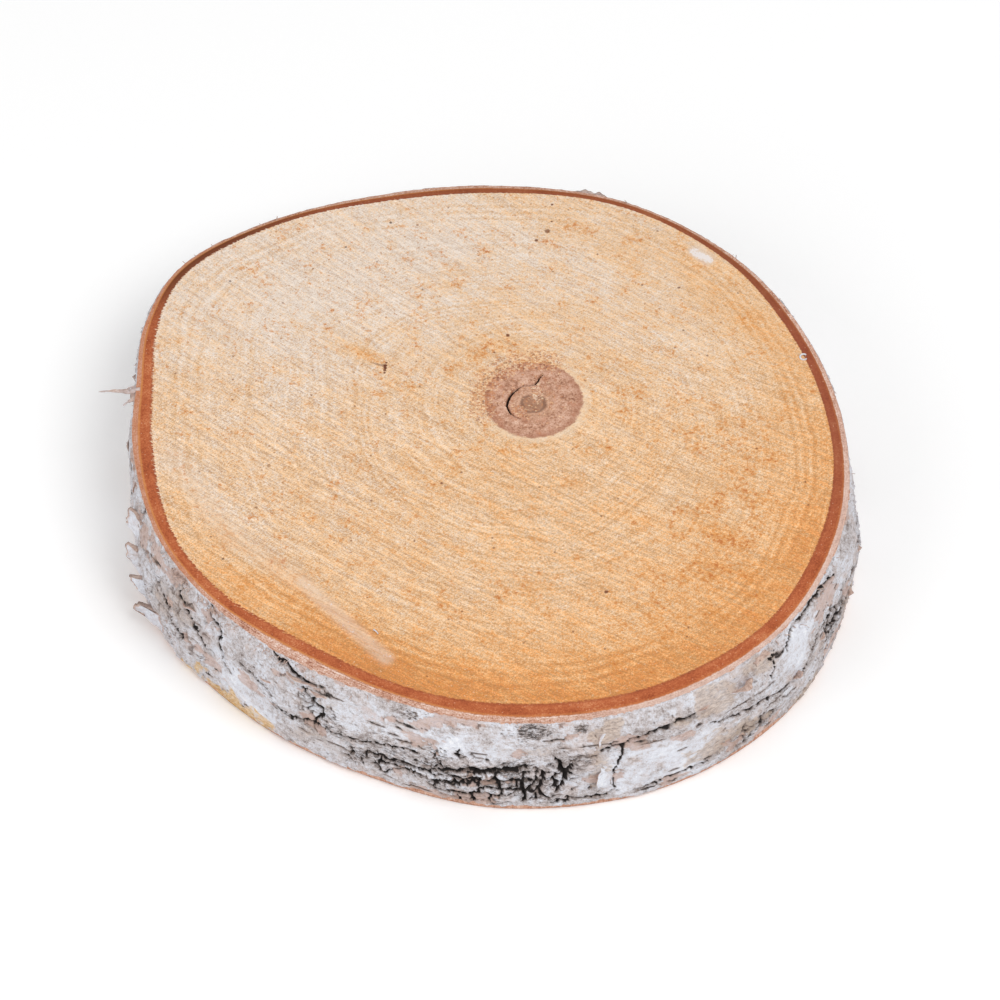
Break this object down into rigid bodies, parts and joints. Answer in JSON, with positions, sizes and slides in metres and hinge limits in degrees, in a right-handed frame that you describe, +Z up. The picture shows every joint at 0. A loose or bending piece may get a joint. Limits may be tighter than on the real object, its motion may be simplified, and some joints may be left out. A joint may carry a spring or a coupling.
{
  "type": "birch wood slice",
  "caption": "Round cross-cut slice of a birch log with its bark on: two flat parallel saw-cut faces and a rough papery white bark edge. Rests flat as a stand, trivet or base.",
  "frame": {"origin": "on the underside, below the middle of the slice's width and depth", "axes": "+Z up along the tree's axis, from the lower saw cut to the upper one; -Y is the side with the thicker bark, +X is right when seen from there"},
  "size_m": [0.2446, 0.2522, 0.04],
  "materials": {
    "birch": "raw saw-cut face, matt, with a reddish-brown inner bark ring and papery white outer bark"
  },
  "bodies": {
    "root": {"birch_slice": "birch"}
  },
  "joints": []
}
